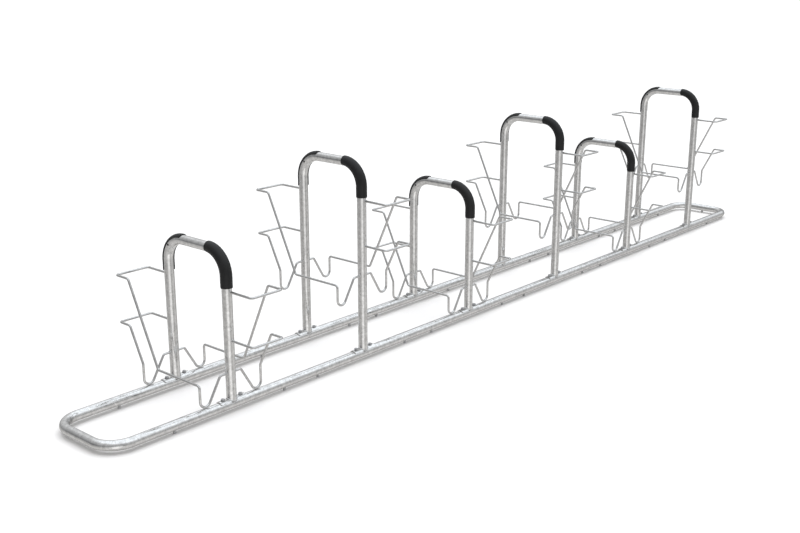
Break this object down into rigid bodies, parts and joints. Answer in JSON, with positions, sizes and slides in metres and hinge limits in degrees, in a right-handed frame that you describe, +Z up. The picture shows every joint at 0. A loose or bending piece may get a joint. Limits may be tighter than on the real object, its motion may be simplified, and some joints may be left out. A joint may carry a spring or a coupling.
{
  "type": "bicycle rack",
  "caption": "Free-standing galvanised floor rack for bicycles: low and high tube hoops in turn on a long ground ring, with bent-wire wheel holders and black bend covers.",
  "frame": {"origin": "on the floor, under the middle of the rack", "axes": "+X along the rack, from the low hoop at the left end to the high hoop at the right end; +Y from the front rail to the rear rail; +Z up"},
  "size_m": [5.9084, 0.78, 1.0796],
  "materials": {
    "galvanised_tube": "hot-dip galvanised round steel tube, satin, softly mottled",
    "galvanised_wire": "hot-dip galvanised steel wire, satin",
    "zinc_fastener": "zinc-plated steel screws and washers",
    "black_plastic": "moulded black plastic, satin",
    "foot_plastic": "grey moulded plastic, matte"
  },
  "bodies": {
    "root": {"base_rail_front": "galvanised_tube", "base_rail_rear": "galvanised_tube", "base_end_left": "galvanised_tube", "base_end_right": "galvanised_tube", "feet": "foot_plastic", "screws": "zinc_fastener", "washers": "zinc_fastener", "hoop_1": "galvanised_tube", "saddle_plates_1": "galvanised_tube", "bend_cover_front_1": "black_plastic", "bend_cover_rear_1": "black_plastic", "short_wire_left_1": "galvanised_wire", "long_wire_left_1": "galvanised_wire", "short_wire_right_1": "galvanised_wire", "long_wire_right_1": "galvanised_wire", "hoop_2": "galvanised_tube", "saddle_plates_2": "galvanised_tube", "bend_cover_front_2": "black_plastic", "bend_cover_rear_2": "black_plastic", "short_wire_left_2": "galvanised_wire", "long_wire_left_2": "galvanised_wire", "short_wire_right_2": "galvanised_wire", "long_wire_right_2": "galvanised_wire", "hoop_3": "galvanised_tube", "saddle_plates_3": "galvanised_tube", "bend_cover_front_3": "black_plastic", "bend_cover_rear_3": "black_plastic", "short_wire_left_3": "galvanised_wire", "long_wire_left_3": "galvanised_wire", "short_wire_right_3": "galvanised_wire", "long_wire_right_3": "galvanised_wire", "hoop_4": "galvanised_tube", "saddle_plates_4": "galvanised_tube", "bend_cover_front_4": "black_plastic", "bend_cover_rear_4": "black_plastic", "short_wire_left_4": "galvanised_wire", "long_wire_left_4": "galvanised_wire", "short_wire_right_4": "galvanised_wire", "long_wire_right_4": "galvanised_wire", "hoop_5": "galvanised_tube", "saddle_plates_5": "galvanised_tube", "bend_cover_front_5": "black_plastic", "bend_cover_rear_5": "black_plastic", "short_wire_left_5": "galvanised_wire", "long_wire_left_5": "galvanised_wire", "short_wire_right_5": "galvanised_wire", "long_wire_right_5": "galvanised_wire", "hoop_6": "galvanised_tube", "saddle_plates_6": "galvanised_tube", "bend_cover_front_6": "black_plastic", "bend_cover_rear_6": "black_plastic", "short_wire_left_6": "galvanised_wire", "long_wire_left_6": "galvanised_wire", "short_wire_right_6": "galvanised_wire", "long_wire_right_6": "galvanised_wire"}
  },
  "joints": []
}
